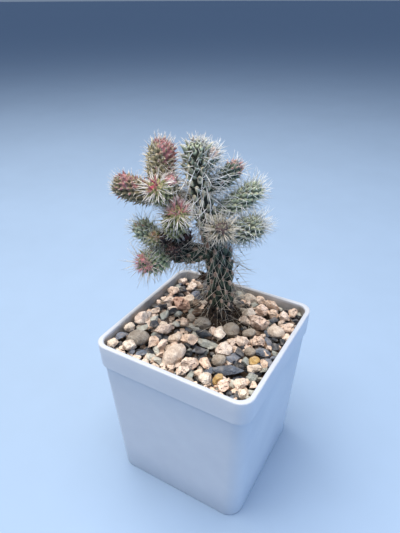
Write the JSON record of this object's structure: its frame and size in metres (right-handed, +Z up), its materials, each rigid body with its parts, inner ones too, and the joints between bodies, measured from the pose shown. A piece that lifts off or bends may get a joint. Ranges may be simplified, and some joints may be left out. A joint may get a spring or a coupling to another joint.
{
  "type": "potted cane cholla",
  "caption": "Young branching cane cholla cactus with spined stem joints, rooted in soil under a gravel top dressing in a tapered square plastic pot.",
  "frame": {"origin": "centre of the pot's underside, on the flat pad that it stands on", "axes": "+Z up along the pot's height, +X and +Y square to the pot's sides; the stem stands behind the middle, toward +Y"},
  "size_m": [0.0817, 0.075, 0.1666],
  "materials": {
    "pot_plastic": "smooth satin white",
    "potting_soil": "dark crumbly potting mix",
    "crushed_stone": "dry crushed stone of mixed colours",
    "old_stem": "dark green skin with tan woolly areoles and ivory spines",
    "young_joint": "grey green waxy skin with ivory spines",
    "red_tip_joint": "olive green waxy skin with red tips and pale spines",
    "dark_bud": "dark reddish brown skin with short spines"
  },
  "bodies": {
    "root": {"pot": "pot_plastic", "soil": "potting_soil", "gravel": "crushed_stone", "main_stem": "old_stem", "arm_lower_left": "old_stem", "stub_left": "old_stem", "branch_upper_left": "young_joint", "joint_top_left": "red_tip_joint", "joint_far_left": "red_tip_joint", "joint_star_left": "red_tip_joint", "joint_small_pink": "red_tip_joint", "joint_star_centre": "red_tip_joint", "joint_low_left": "red_tip_joint", "joint_mid_left": "young_joint", "bud_mid_left": "young_joint", "bud_dark_inner": "dark_bud", "bud_dark_left": "dark_bud", "bud_dark_front": "dark_bud", "joint_top_right": "young_joint", "joint_upper_right": "young_joint", "joint_mid_right": "young_joint", "joint_low_right": "young_joint", "joint_front": "young_joint"}
  },
  "joints": []
}
